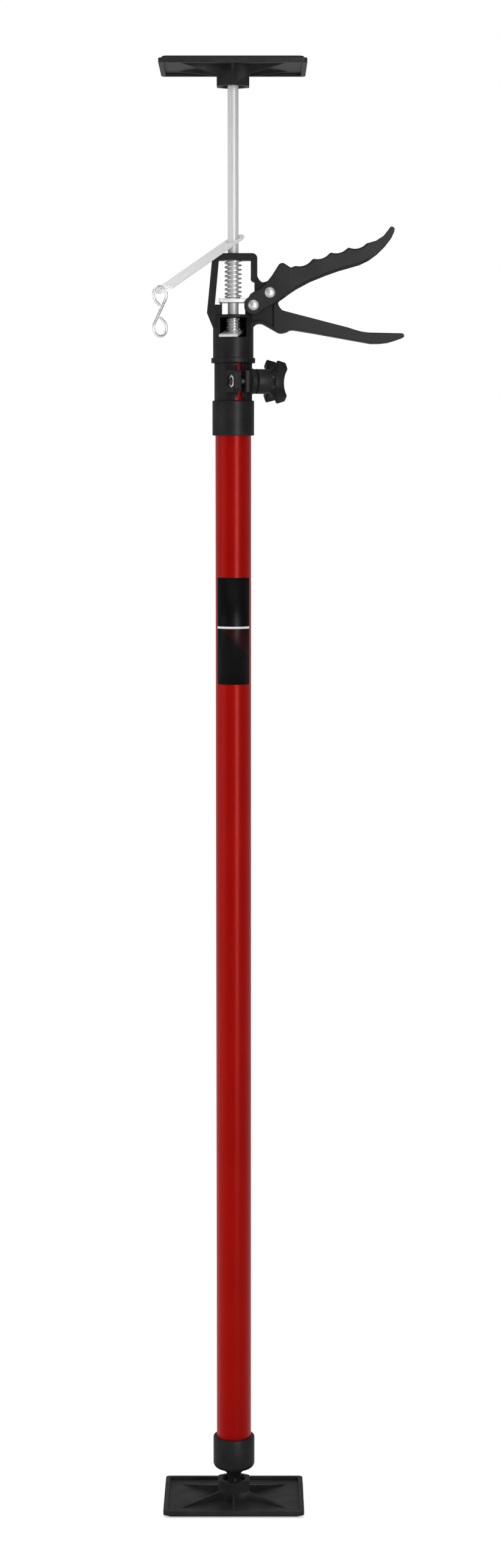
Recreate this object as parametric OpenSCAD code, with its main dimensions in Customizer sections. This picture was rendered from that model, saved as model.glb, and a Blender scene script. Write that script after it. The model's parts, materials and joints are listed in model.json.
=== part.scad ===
// Adjustable steel prop: a telescopic pole on a swivelling foot, with a clamp collar,
// a squeeze-trigger rod feed on top and a second swivelling pad. Millimetres, +Z up.
// The origin is on the floor, under the pole's axis. X runs along the trigger handles.

/* [Pads] */
// Width of a pad along the trigger handles
pad_w = 113.4; // [90:1:150]
// Depth of a pad
pad_d = 82; // [64:1:120]
// Corner radius of a pad
pad_corner_r = 3.5; // [1:0.5:6]
// Thickness of the rubber facing that stands out of a pad
rubber_t = 1.7; // [1:0.1:4]
// Distance of the rubber's edge from the pad's edge
rubber_inset = 2.5; // [1:0.5:6]
// Chamfer round the rubber's contact face
rubber_chamfer = 0.6; // [0.2:0.1:0.9]
// Floor thickness of a pad's tray
pad_floor_t = 1.5; // [1.2:0.1:3]
// Width of the tray's rim
rim_w = 3.8; // [2.5:0.1:6]
// Height of the rim over the tray floor
rim_h = 2.3; // [1:0.1:5]
// Width of the hexagonal hub across its flats
hub_flats = 25.2; // [24:0.1:32]
// Height of the ball's centre over the tray floor
ball_lift = 7.8; // [7.7:0.1:10]
// Height of the hub's mouth over the ball's centre
hub_lip = 7.5; // [6.5:0.1:8.5]
// Height of the socket's retaining lip over the ball's centre
lip_up = 5; // [4:0.1:5.5]
// Thickness of the ribs that brace the hub
rib_t = 2.2; // [1.4:0.1:3.5]
// Height of the ribs at the hub, over the tray floor
rib_h = 6.8; // [4:0.1:10]
// Angle of the corner ribs from the X axis
rib_lean = 32; // [25:1:35]
// How far out along X the corner ribs reach
rib_reach = 44; // [30:0.2:45]

/* [Ball joints] */
// Radius of both balls
ball_r = 8; // [7.6:0.1:8.2]
// Wall of the split liner round a ball
liner_t = 1.05; // [0.8:0.05:1.15]
// Running gap on each side of a liner
ball_gap = 0.2; // [0.1:0.05:0.25]
// Slots in the mouth of a liner
liner_slots = 8; // [4:1:12]
// Width of each slot
liner_slot_w = 1.2; // [0.6:0.1:2]
// Radius of the foot ball's neck
neck_r = 5; // [4:0.1:5.2]
// Free height between the hub's mouth and the pole cap
neck_free = 9.5; // [8:0.1:12]
// Radius of the neck's collar under the pole cap
neck_top_r = 9.4; // [7.5:0.1:10]

/* [Pole] */
// Outside diameter of the lower tube
outer_tube_d = 28; // [27:0.1:29.5]
// Wall of the lower tube
outer_tube_wall = 1.2; // [0.8:0.1:1.3]
// Length of the lower tube
outer_tube_len = 860; // [500:1:1600]
// Outside diameter of the sliding tube
inner_tube_d = 25; // [23.5:0.1:25.2]
// Wall of the sliding tube
inner_tube_wall = 1.2; // [0.8:0.1:1.8]
// Length of the sliding tube
inner_tube_len = 845; // [300:1:850]
// Outside radius of the pole cap
cap_r = 16.8; // [16.2:0.1:19]
// Height of the pole cap
cap_h = 26.7; // [24:0.1:50]
// Floor of the pole cap, under the tube's end
cap_floor_t = 3; // [2.5:0.1:12]
// Radius of the cap's round lower edge
cap_round_r = 4.6; // [3:0.2:6.4]
// Length of the ball stud's shank, in the cap
shank_len = 18; // [12:0.5:22]
// Radius of the shank
shank_r = 5; // [4:0.1:5.6]
// Length of the plastic glide's collar under the sliding tube
glide_h = 9; // [5:0.5:14]
// Length of the glide's spigot, inside the sliding tube
glide_spigot = 12; // [8:0.5:20]

/* [Clamp collar] */
// Outside radius of the collar's lower sleeve
sleeve_r = 16.35; // [15.9:0.05:18]
// Height of the lower sleeve
sleeve_h = 27.2; // [18:0.2:40]
// Outside radius of the split clamp
clamp_r = 14.8; // [14.3:0.05:15.8]
// Height of the split clamp
clamp_h = 29; // [24:0.2:40]
// Direction that the slit faces, from the front towards the handles
clamp_turn = 21; // [0:1:35]
// Width of the slit
slit_w = 3.2; // [2:0.1:4]
// Width of the wider foot of the slit
slit_foot_w = 7.6; // [4.5:0.1:10]
// Height of the wider foot of the slit
slit_foot_h = 2.4; // [1.5:0.1:4]
// Height of the clamp's lugs
lug_h = 17; // [13:0.5:20]
// How far the nut lug reaches from the pole's axis
nut_lug_reach = 24; // [22.5:0.1:27]
// Thickness of the nut lug
nut_lug_t = 6.8; // [6:0.1:9]
// Thickness of the knob lug
knob_lug_t = 4.8; // [3:0.1:6]
// Distance of the screw from the pole's axis
screw_out = 17.8; // [17.4:0.1:19]
// Radius of the screw
screw_r = 3; // [2.5:0.5:3.5]
// Radius of the round boss that the knob bears on
boss_r = 9.9; // [8:0.1:10.4]
// Length of the boss
boss_t = 4.7; // [3:0.1:8]
// Width of the nut across its flats
nut_flats = 10; // [9:0.5:11]
// Thickness of the nut
nut_t = 4; // [3:0.1:5]

/* [Knob] */
// Radius of the knob's neck
knob_neck_r = 9.6; // [7:0.1:9.8]
// Length of the knob's neck
knob_neck_h = 13.3; // [5:0.1:16]
// Radius over the knob's lobes
knob_r = 20.2; // [16:0.1:24]
// Thickness of the lobes
knob_t = 8; // [6:0.1:14]
// How much narrower the lobes are at the outer face, in radius
knob_taper = 1.8; // [0.5:0.1:3]
// Number of lobes
knob_lobes = 4; // [3:1:6]
// Angle that the knob is turned to at rest
knob_rest = 4; // [0:1:45]
// Depth of the dish in the knob's face
knob_dish = 1.1; // [0.5:0.1:3]

/* [Head] */
// Radius of the flange that rests on the collar
flange_r = 17.2; // [16.8:0.1:19]
// Height of that flange
flange_h = 4; // [3:0.1:6]
// Radius of the head's barrel
barrel_r = 15.8; // [15.4:0.1:16.4]
// Depth of the tube's socket in the barrel
socket_h = 16; // [12:0.5:17]
// Height of the lock window's sill over the flange's seat
sill_z = 19.9; // [19:0.1:21]
// Height of the lock window
lock_window_h = 15; // [14.6:0.1:17]
// Width of the lock window
lock_window_w = 20.6; // [18:0.1:22]
// Thickness of the bridge over the lock window
mid_web_t = 2.2; // [1.5:0.1:4]
// Wall of the chamber behind the lock window
chamber_wall = 2.5; // [1.8:0.1:3]
// Height of the head from the flange's seat to its top
head_h = 84.3; // [82:0.1:96]
// Thickness of the bar across the top
top_bar_t = 5.2; // [4:0.1:8]
// Width of the frame, front to back
frame_w = 16; // [14:0.2:17]
// Radius of the frame's upper corners
frame_corner_r = 4; // [2:0.2:5]
// Thickness of the web behind the trigger
ear_t = 12; // [4:0.2:15]
// Radius of the ear round the trigger's pivot
ear_r = 9.2; // [7:0.1:10]

/* [Trigger] */
// Distance of the trigger's pivot from the pole's axis
pivot_x = 28.6; // [27.5:0.1:30]
// Height of the trigger's pivot over the flange's seat
pivot_z = 54; // [53:0.1:55]
// Distance of the push pin from the pole's axis
pin_x = 15.8; // [15:0.1:16.5]
// Height of the push pin over the flange's seat
pin_z = 44.3; // [43.8:0.1:44.6]
// Radius of the push pin
pin_r = 2; // [1.6:0.1:2.2]
// Radius of the pivot rivet
rivet_r = 3; // [2:0.1:3.4]
// Radius of the domed heads of both
dome_r = 4.1; // [3.5:0.1:5]
// Height of those heads
dome_h = 1.9; // [1:0.1:3]
// Radius of the trigger's nose round the push pin
nose_r = 7.2; // [6:0.1:7.2]
// Thickness of each of the trigger's cheeks
cheek_t = 2.4; // [1.8:0.1:4]
// Side clearance between the cheeks and the frame
cheek_gap = 0.3; // [0.2:0.05:0.6]
// Depth of each finger scallop
scallop_depth = 2.4; // [1:0.1:3.2]
// Rise of the line of scallops at its middle
scallop_bow = 2; // [0:0.1:3]
// Number of finger scallops
scallops = 4; // [3:1:5]
// Wall of the hollow trigger grip
trigger_wall = 2.6; // [1.8:0.1:4]
// Width of the fixed handle
handle_w = 17; // [14:0.5:20]
// Thickness of the flange under the fixed handle
handle_flange_t = 2.4; // [1.6:0.1:4]

/* [Rod feed] */
// Diameter of the push rod
rod_d = 8.4; // [8:0.1:8.6]
// Length of the push rod
rod_len = 292; // [250:1:320]
// Height of the top ball's centre over the head's top, at rest
rod_raise = 134.7; // [127:0.1:180]
// Thickness of the drive plate
drive_plate_t = 3.1; // [2:0.1:3.4]
// Left end of the drive plate
drive_plate_left = -11.2; // [-12:0.1:-10.5]
// Right end of the drive plate
drive_plate_right = 16; // [15.8:0.1:16.1]
// Wire of the main spring
main_wire = 1.5; // [1:0.1:1.8]
// Mean radius of the main spring
main_spring_r = 6.05; // [5.8:0.05:6.3]
// Turns of the main spring
main_turns = 10; // [7:1:12]
// Wire of the lock spring
lock_wire = 1.1; // [0.7:0.1:1.3]
// Mean radius of the lock spring
lock_spring_r = 5.2; // [5.1:0.05:5.6]
// Turns of the lock spring
lock_turns = 5; // [3:1:6]
// Width of the lock plate
lock_plate_w = 14.6; // [12:0.1:15]
// Thickness of the lock plate
lock_plate_t = 2.1; // [1.5:0.1:2.2]
// Length of the lock plate in front of the rod
lock_plate_front = 19; // [17:0.5:24]
// Slope of the lock plate at rest
lock_tilt = 10; // [8:0.5:10]
// Direction of the lock plate's tongue, to the left of the front
lock_turn = 12; // [0:1:14]
// Distance of the lock plate's fulcrum behind the rod
fulcrum_y = 10.6; // [9:0.1:11]
// Outside radius of the ring that stops the rod
stop_ring_r = 9; // [7:0.1:10]
// Thickness of that ring
stop_ring_t = 2; // [1:0.1:4]
// Height of that ring over the rod's lower end
stop_ring_up = 3.6; // [2:0.1:12]

/* [Hanger] */
// Distance between the strip's two holes
strip_pitch = 77; // [60:1:100]
// Radius of the strip's round ends
strip_r = 9.2; // [8:0.1:11]
// Thickness of the strip
strip_t = 1.6; // [1.2:0.1:2.5]
// Radius of the hole that the rod passes
strip_rod_hole_r = 5.5; // [5.4:0.1:6]
// Radius of the hole that the hook hangs in
strip_hook_hole_r = 4.6; // [4.4:0.1:5]
// Slope of the strip at rest
strip_tilt = 30; // [20:1:30]
// Direction of the strip, from the left side towards the front
strip_turn = 40; // [20:1:60]
// Wire of the S-hook
hook_wire = 2.2; // [1.8:0.1:2.4]
// Mean radius of the hook's two loops
hook_r = 6.25; // [6:0.05:6.6]
// Distance between the centres of the loops
hook_pitch = 24.9; // [20:0.1:30]
// Angle that each loop turns through
hook_sweep = 262; // [240:1:270]
// Straight end of each loop
hook_end = 4; // [2:0.1:4.4]

/* [Hidden] */
$fn = 64;

// Clearances: seated in one body, running on a shaft, and clear of a moving neighbour.
seat_fit = 0.03;
shaft_fit = 0.06;
clear = 0.3;
eps = 0.01;

// Pad, measured up from its contact face.
tray_z = rubber_t;
floor_z = tray_z + pad_floor_t;
ball_z = floor_z + ball_lift;
mouth_z = ball_z + hub_lip;
hub_corner_r = hub_flats / 2 / cos(30);
liner_in_r = ball_r + ball_gap;
liner_out_r = liner_in_r + liner_t;
socket_r = liner_out_r + ball_gap;
ball_tilt = 15;
liner_low = 0.56 * ball_r;
liner_low_r = sqrt(pow(liner_out_r, 2) - pow(liner_low, 2));
socket_low = liner_low * cos(ball_tilt) + liner_low_r * sin(ball_tilt) + clear;
liner_top = lip_up - 0.5;
lip_r = sqrt(pow(socket_r, 2) - pow(lip_up, 2));
mouth_r = lip_r + 0.6 * (hub_lip - lip_up);

// Pole, measured up from the floor.
cap_z = mouth_z + neck_free;
tube_z = cap_z + cap_floor_t;
tube_top_z = tube_z + outer_tube_len;
cap_boss_z = cap_z + shank_len + 2;
outer_r = outer_tube_d / 2;
inner_r = inner_tube_d / 2;
bore_r = outer_r - outer_tube_wall;
collar_z = tube_top_z - sleeve_h;
clamp_top_z = tube_top_z + clamp_h;
screw_z = clamp_top_z - clamp_h / 2;
half_slit = slit_w / 2;
boss_end = half_slit + knob_lug_t + boss_t;
knob_start = boss_end + clear;
knob_end = knob_start + knob_neck_h + knob_t;

// The head rests on the collar, or stands over it when a longer inner tube reaches the cap.
inner_low_z = max(clamp_top_z + socket_h - inner_tube_len, cap_boss_z + glide_h + 2 * clear);
head_z = inner_low_z + inner_tube_len - socket_h;
tube_bore_r = inner_r - inner_tube_wall;

// Head, measured up from the flange's seat.
rod_r = rod_d / 2;
rod_hole_r = rod_r + shaft_fit;
barrel_top = sill_z + lock_window_h + mid_web_t;
bar_under = head_h - top_bar_t;
fork_half = frame_w / 2 + cheek_gap;
lever_half = fork_half + cheek_t;
corner_x = 12.3;
right_x = 14.8;
post_x = 9.3;
ear_x = drive_plate_right + 0.5;
flange_low = 65.2;
plate_z = pin_z + pin_r + 0.2;
pin_arm = norm([pivot_x - pin_x, pivot_z - pin_z]);
web_foot = [24.8, 29];
spring_recess = 1.8;
chamber_r = barrel_r - chamber_wall;
ball_top_z = head_z + head_h + rod_raise;
top_z = ball_top_z + ball_z;
rod_low_z = ball_top_z + 3 - rod_len;
rivet_up = 9;
head_rivet_r = 2.4;
stop_z = rod_low_z + stop_ring_up;

// Lock plate: its middle plane crosses the rod's axis at this height over the seat.
lock_mid_z = sill_z + 0.2 + lock_plate_t / 2 / cos(lock_tilt) + 15.5 * tan(lock_tilt);

// Hanger strip: it lies on the frame's upper left corner.
strip_slope = tan(strip_tilt);
strip_rest = strip_slope * (cos(strip_turn) * corner_x + sin(strip_turn) * frame_w / 2);
strip_round = frame_corner_r * sqrt(1 + pow(strip_slope * cos(strip_turn), 2));
strip_z = head_z + head_h - frame_corner_r + strip_rest + strip_round
  + strip_t / 2 / cos(strip_tilt) + clear;
bridge_w = strip_r - strip_hook_hole_r;
bridge_out = strip_pitch + strip_hook_hole_r + bridge_w / 2;
hook_in_r = hook_r - hook_wire / 2;
hook_hang = norm([bridge_w, strip_t]) / 2 + clear;
hook_stub = 1;

// A rounded rectangle, centred on the origin
module rounded_rect(w, d, r) {
  hull()
    for (x = [-1, 1], y = [-1, 1])
      translate([x * (w / 2 - r), y * (d / 2 - r)]) circle(r, $fn = 32);
}

// A rounded slab made of true cylinders and boxes, from z = 0 up
module slab(w, d, h, r) {
  translate([-w / 2 + r, -d / 2, 0]) cube([w - 2 * r, d, h]);
  translate([-w / 2, -d / 2 + r, 0]) cube([w, d - 2 * r, h]);
  for (x = [-1, 1], y = [-1, 1])
    translate([x * (w / 2 - r), y * (d / 2 - r), 0]) cylinder(r = r, h = h);
}

// Stands a flat XZ profile up and centres its thickness on Y
module upright(t) {
  translate([0, t / 2, 0]) rotate([90, 0, 0]) linear_extrude(t) children();
}

// Turns its children so that local +X runs along the clamp screw and -Y faces the slit
module clamp_frame() {
  rotate([0, 0, clamp_turn]) children();
}

// Flips a pad's piece over and sets it at the top of the rod
module at_top() {
  translate([0, 0, top_z]) mirror([0, 0, 1]) children();
}

// ---- Pads and ball joints ----

module pad_rib(angle, length, t) {
  rotate([0, 0, angle])
    translate([hub_flats / 2 - 1, t / 2, 0])
      rotate([90, 0, 0])
        linear_extrude(t)
          polygon([[0, tray_z + 0.5], [0, floor_z + rib_h], [1.5, floor_z + rib_h],
            [length - hub_flats / 2, floor_z], [length - hub_flats / 2, tray_z + 0.5]]);
}

module pad_plate_shape() {
  corner_rib = rib_reach / cos(rib_lean);
  side_rib = pad_d / 2 - rim_w / 2;
  inner_w = pad_w - 2 * rim_w;
  inner_d = pad_d - 2 * rim_w;
  difference() {
    union() {
      difference() {
        translate([0, 0, tray_z]) slab(pad_w, pad_d, pad_floor_t + rim_h, pad_corner_r);
        translate([0, 0, floor_z]) slab(inner_w, inner_d, rim_h + 1, pad_corner_r / 2);
      }
      translate([0, 0, tray_z + 0.5])
        rotate([0, 0, 30]) cylinder(r = hub_corner_r, h = mouth_z - tray_z - 0.5, $fn = 6);
      for (side = [0, 180]) {
        pad_rib(side + 90, side_rib, rib_t);
        for (lean = [-rib_lean, rib_lean]) pad_rib(side + lean, corner_rib, rib_t);
      }
    }
    intersection() {
      translate([0, 0, ball_z]) sphere(socket_r);
      translate([0, 0, ball_z - socket_low]) cylinder(r = hub_flats, h = 2 * hub_flats);
    }
    translate([0, 0, ball_z]) sphere(liner_in_r);
    translate([0, 0, ball_z + lip_up])
      cylinder(r1 = lip_r, r2 = mouth_r, h = hub_lip - lip_up + eps);
  }
}

module pad_rubber_shape() {
  w = pad_w - 2 * rubber_inset;
  d = pad_d - 2 * rubber_inset;
  straight = rubber_t - rubber_chamfer;
  hull() {
    translate([0, 0, rubber_chamfer])
      linear_extrude(straight) rounded_rect(w, d, pad_corner_r);
    linear_extrude(eps)
      rounded_rect(w - 2 * rubber_chamfer, d - 2 * rubber_chamfer, pad_corner_r);
  }
}

module ball_liner_shape() {
  translate([0, 0, ball_z])
    difference() {
      intersection() {
        sphere(liner_out_r);
        translate([0, 0, -liner_low]) cylinder(r = 2 * ball_r, h = liner_low + liner_top);
      }
      sphere(liner_in_r);
      for (i = [0 : liner_slots - 1])
        rotate([0, 0, i * 360 / liner_slots])
          translate([0, -liner_slot_w / 2, 0]) cube([2 * ball_r, liner_slot_w, ball_r]);
    }
}

module foot_pad_plate() {
  color("#202020") pad_plate_shape();
}

module foot_pad_rubber() {
  color("#161616") pad_rubber_shape();
}

module foot_ball_liner() {
  color("#2a2a2a") ball_liner_shape();
}

module top_pad_plate() {
  color("#202020") at_top() pad_plate_shape();
}

module top_pad_rubber() {
  color("#161616") at_top() pad_rubber_shape();
}

module top_ball_liner() {
  color("#2a2a2a") at_top() ball_liner_shape();
}

module foot_ball_stud() {
  neck_top = cap_z - clear;
  neck_bend = neck_top - 5.6;
  color("#242424")
    union() {
      translate([0, 0, ball_z]) sphere(ball_r);
      rotate_extrude()
        polygon([[0, ball_z], [neck_r, ball_z + 5], [neck_r, neck_bend],
          [neck_top_r, neck_top - 0.8], [neck_top_r, neck_top], [shank_r, neck_top],
          [shank_r, cap_z + shank_len - 1], [shank_r - 1, cap_z + shank_len],
          [0, cap_z + shank_len]]);
    }
}

module top_ball() {
  color("#242424")
    translate([0, 0, ball_top_z])
      difference() {
        sphere(ball_r);
        translate([0, 0, -2 * ball_r])
          cylinder(r = rod_hole_r, h = 2 * ball_r + 3 + clear);
      }
}

// ---- Pole ----

module outer_tube() {
  color("#a00d05")
    translate([0, 0, tube_z])
      difference() {
        cylinder(r = outer_r, h = outer_tube_len);
        translate([0, 0, -1]) cylinder(r = bore_r, h = outer_tube_len + 2);
      }
}

module foot_cap() {
  lip = 0.4;
  color("#202020")
    translate([0, 0, cap_z])
      difference() {
        rotate_extrude()
          union() {
            polygon([[0, cap_round_r], [cap_r, cap_round_r], [cap_r, cap_h - 1.2],
              [cap_r - lip, cap_h], [0, cap_h]]);
            intersection() {
              translate([cap_r - cap_round_r, cap_round_r]) circle(cap_round_r);
              square([cap_r, cap_round_r + eps]);
            }
            square([cap_r - cap_round_r, cap_round_r + eps]);
          }
        difference() {
          translate([0, 0, cap_floor_t]) cylinder(r = outer_r + seat_fit, h = cap_h);
          cylinder(r = bore_r - clear, h = cap_boss_z - cap_z);
        }
        translate([0, 0, -1]) cylinder(r = shank_r + shaft_fit, h = shank_len + 1 + clear);
      }
}

module inner_tube() {
  color("#b01008")
    translate([0, 0, inner_low_z])
      difference() {
        cylinder(r = inner_r, h = inner_tube_len);
        translate([0, 0, -1]) cylinder(r = tube_bore_r, h = inner_tube_len + 2);
        translate([0, 0, inner_tube_len - socket_h + rivet_up])
          rotate([-90, 0, 0]) cylinder(r = head_rivet_r + seat_fit, h = 2 * inner_r);
      }
}

module tube_glide() {
  spigot_r = tube_bore_r - shaft_fit;
  color("#303030")
    translate([0, 0, inner_low_z - clear - glide_h])
      difference() {
        union() {
          cylinder(r1 = bore_r - shaft_fit - 0.6, r2 = bore_r - shaft_fit, h = 1.2);
          translate([0, 0, 1.2]) cylinder(r = bore_r - shaft_fit, h = glide_h - 1.2);
          cylinder(r = spigot_r, h = glide_h + clear + glide_spigot);
        }
        translate([0, 0, -1]) cylinder(r = spigot_r - 2.2, h = glide_h + glide_spigot + 3);
      }
}

// ---- Clamp collar, nut, screw and knob ----

// Nut lug and its fairing, seen from above: X along the screw, Y out of the slit
module nut_lug_outline() {
  left = -half_slit - nut_lug_t;
  foot = -sqrt(pow(clamp_r, 2) - pow(clamp_r - 4.6, 2));
  polygon([[-half_slit, inner_r], [-half_slit, nut_lug_reach - 1], [-half_slit - 1, nut_lug_reach],
    [left + 0.8, nut_lug_reach], [left, nut_lug_reach - 0.8], [foot, clamp_r - 4.6],
    [foot + 4, inner_r - 2]]);
}

module knob_lug_outline() {
  reach = nut_lug_reach - 2;
  right = half_slit + knob_lug_t;
  polygon([[half_slit, inner_r], [half_slit, reach - 1], [half_slit + 1, reach],
    [right + 0.1, reach], [right + 0.1, clamp_r - 2.4], [right, inner_r - 4]]);
}

// Nut lug seen along the screw: X out of the slit, Y up
module nut_lug_side() {
  polygon([[0, 0], [nut_lug_reach - 2.4, 0], [nut_lug_reach, 3.6], [nut_lug_reach, lug_h - 2],
    [nut_lug_reach - 1.4, lug_h], [0, lug_h]]);
}

module clamp_collar() {
  color("#202020")
    difference() {
      union() {
        translate([0, 0, collar_z]) cylinder(r = sleeve_r, h = sleeve_h - 0.5);
        translate([0, 0, tube_top_z - 0.5]) cylinder(r1 = sleeve_r, r2 = sleeve_r - 0.5, h = 0.5);
        translate([0, 0, tube_top_z]) cylinder(r = clamp_r, h = clamp_h);
        clamp_frame() {
          translate([0, 0, screw_z - lug_h / 2]) {
            linear_extrude(lug_h) mirror([0, 1]) knob_lug_outline();
            intersection() {
              linear_extrude(lug_h) mirror([0, 1]) nut_lug_outline();
              translate([-2 * clamp_r, 0, 0])
                rotate([90, 0, 90]) linear_extrude(2 * clamp_r) mirror([1, 0]) nut_lug_side();
            }
          }
          translate([half_slit + knob_lug_t, -screw_out, screw_z]) rotate([0, 90, 0]) {
            cylinder(r = boss_r, h = boss_t - 1.6);
            translate([0, 0, boss_t - 1.6]) cylinder(r1 = boss_r, r2 = boss_r - 1, h = 1.6);
          }
        }
      }
      translate([0, 0, collar_z - 1]) cylinder(r = outer_r + seat_fit, h = sleeve_h + 1);
      translate([0, 0, tube_top_z - 1]) cylinder(r = inner_r + shaft_fit, h = clamp_h + 2);
      clamp_frame() {
        translate([-half_slit, -2 * clamp_r, tube_top_z]) cube([slit_w, 2 * clamp_r, clamp_h + 1]);
        translate([-slit_foot_w / 2, -2 * clamp_r, tube_top_z])
          cube([slit_foot_w, 2 * clamp_r, slit_foot_h]);
        translate([-2 * clamp_r, -screw_out, screw_z])
          rotate([0, 90, 0]) cylinder(r = screw_r + clear, h = 4 * clamp_r);
        translate([-3 * clamp_r, -screw_out, screw_z])
          rotate([0, 90, 0])
            cylinder(r = nut_flats / 2 / cos(30) + seat_fit,
              h = 3 * clamp_r - half_slit - nut_lug_t + nut_t, $fn = 6);
        translate([boss_end, -screw_out, screw_z])
          rotate([0, 90, 0]) cylinder(r = knob_neck_r + clear, h = clamp_r);
      }
    }
}

module clamp_nut() {
  color("#c9c9c9")
    clamp_frame()
      translate([-half_slit - nut_lug_t, -screw_out, screw_z])
        rotate([0, 90, 0])
          difference() {
            intersection() {
              cylinder(r = nut_flats / 2 / cos(30), h = nut_t, $fn = 6);
              cylinder(r1 = nut_flats / 2 - 0.2, r2 = nut_flats / 2 + nut_t * tan(60), h = nut_t);
            }
            translate([0, 0, -1]) cylinder(r = screw_r + shaft_fit, h = nut_t + 2);
          }
}

module clamp_screw() {
  start = -half_slit - nut_lug_t - 1.2;
  color("#c9c9c9")
    clamp_frame()
      translate([start, -screw_out, screw_z])
        rotate([0, 90, 0]) {
          cylinder(r1 = screw_r - 0.8, r2 = screw_r, h = 0.8);
          translate([0, 0, 0.8]) cylinder(r = screw_r, h = knob_start + knob_neck_h - start);
        }
}

module clamp_knob() {
  valley_r = 0.6 * knob_r;
  valley_at = 1.09 * knob_r;
  dish_r = (pow(knob_r, 2) + pow(knob_dish, 2)) / 2 / knob_dish;
  screw_in = knob_neck_h + 0.8 + seat_fit;
  color("#222222")
    clamp_frame()
      translate([knob_start, -screw_out, screw_z])
        rotate([0, 90, 0])
          difference() {
            union() {
              cylinder(r = knob_neck_r, h = knob_neck_h + 1);
              translate([0, 0, knob_neck_h])
                difference() {
                  cylinder(r1 = knob_r, r2 = knob_r - knob_taper, h = knob_t);
                  for (i = [0 : knob_lobes - 1])
                    rotate([0, 0, knob_rest + i * 360 / knob_lobes])
                      translate([valley_at, 0, -1]) cylinder(r = valley_r, h = knob_t + 2);
                }
            }
            translate([0, 0, knob_neck_h + knob_t - knob_dish + dish_r]) sphere(dish_r);
            translate([0, 0, -1]) cylinder(r = screw_r + seat_fit, h = screw_in + 1);
          }
}

// ---- Head ----

// Outer shape of the upper frame, right flange and shoulder
module frame_outline() {
  shoulder_z = barrel_top + 1.4;
  polygon([[-barrel_r + 1, sill_z + 6.6], [-barrel_r, sill_z + 7.4], [-20.4, shoulder_z],
    [-corner_x - frame_corner_r, head_h - frame_corner_r], [-corner_x, head_h],
    [right_x, head_h], [right_x + frame_corner_r, head_h - frame_corner_r],
    [right_x + frame_corner_r, flange_low], [post_x, flange_low], [post_x, barrel_top - 2],
    [barrel_r - 2, barrel_top - 2], [barrel_r - 2, sill_z + 6.6]]);
  for (x = [-corner_x, right_x]) translate([x, head_h - frame_corner_r]) circle(frame_corner_r);
}

// Opening of the upper frame, down to the ledges that the drive plate rests on
module frame_opening() {
  ledge_z = plate_z - 1.6;
  polygon([[-11.2, bar_under], [13.7, bar_under], [13.7, flange_low], [post_x, flange_low],
    [post_x, barrel_top], [-8.7, barrel_top], [-8.7, plate_z - 0.2], [-10.1, plate_z - 0.2],
    [-10.1, ledge_z], [-14.4, ledge_z]]);
}

// Slot that the push pin sweeps as the trigger turns, up to the open top
module pin_slot() {
  rest = [pin_x, pin_z];
  right = pin_x + pin_r + clear;
  out = (rest - [pivot_x, pivot_z]) / pin_arm;
  along = [out[1], -out[0]];
  low = rest + (pin_r + 0.7 * clear) * out;
  top = plate_z + 3;
  translate(rest) circle(pin_r + clear);
  polygon([rest, low, low + along * (top - low[1]) / along[1], [ear_x, top], [right, plate_z],
    [right, pin_z]]);
}

// Web of the ear, the post under the drive plate and the start of the fixed handle
module ear_outline() {
  difference() {
    union() {
      polygon([[post_x, barrel_top - 3], [post_x, plate_z - 0.2], [ear_x, plate_z - 0.2],
        [ear_x, 64.4], [14.2, 65.4], [14.2, 67], [18.8, 67], [19.3, 65.6], [20.8, 63.3],
        [22.9, 62], [pivot_x, pivot_z + ear_r], [pivot_x, 30.6], web_foot, [23, 30],
        [20.3, 30.5], [18, 30], [barrel_r, 28.1], [post_x, 22]]);
      translate([pivot_x, pivot_z]) circle(ear_r);
      polygon([[pivot_x - 2, pivot_z], [pivot_x + ear_r - 1.4, pivot_z - 5], [34.8, 46],
        [36.1, 42.9], [37.9, 40.8], [44, 38.8], [44, 26], web_foot]);
    }
    pin_slot();
  }
}

// Side view of the fixed handle's grip
module handle_outline() {
  polygon([[31.5, 45.2], [34.8, 45.6], [36.1, 42.9], [37.9, 40.8], [39.8, 40], [62.4, 34.2],
    [89.6, 27.2], [95.1, 25.4], [100.5, 24], [105.9, 23.4], [116.8, 23.2], [132.2, 22.8],
    [133.4, 20.8], [132.7, 19.7], [125.9, 17.3], [120.5, 15.7], [114.2, 15], [107.3, 14.9],
    [98.7, 16.4], [62.4, 22.9], [47, 25.4], [43.9, 25.2], [41.6, 23.8], [37.9, 22.9],
    [35.2, 23.2], [32.5, 24.7], [31.5, 25.3]]);
}

// Underside flange, from the barrel along the web to the grip
module handle_flange() {
  t = handle_flange_t;
  polygon([[barrel_r - 2, 24], [barrel_r, 28.1], [18, 30], [20.3, 30.5], [23, 30], web_foot,
    [32.5, 24.7], [33, 24.5 + t], [25.6, 29 + t], [23.4, 30 + t], [20.3, 30.5 + t],
    [17.2, 30 + t], [barrel_r - 2, 28.1 + t]]);
}

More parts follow.
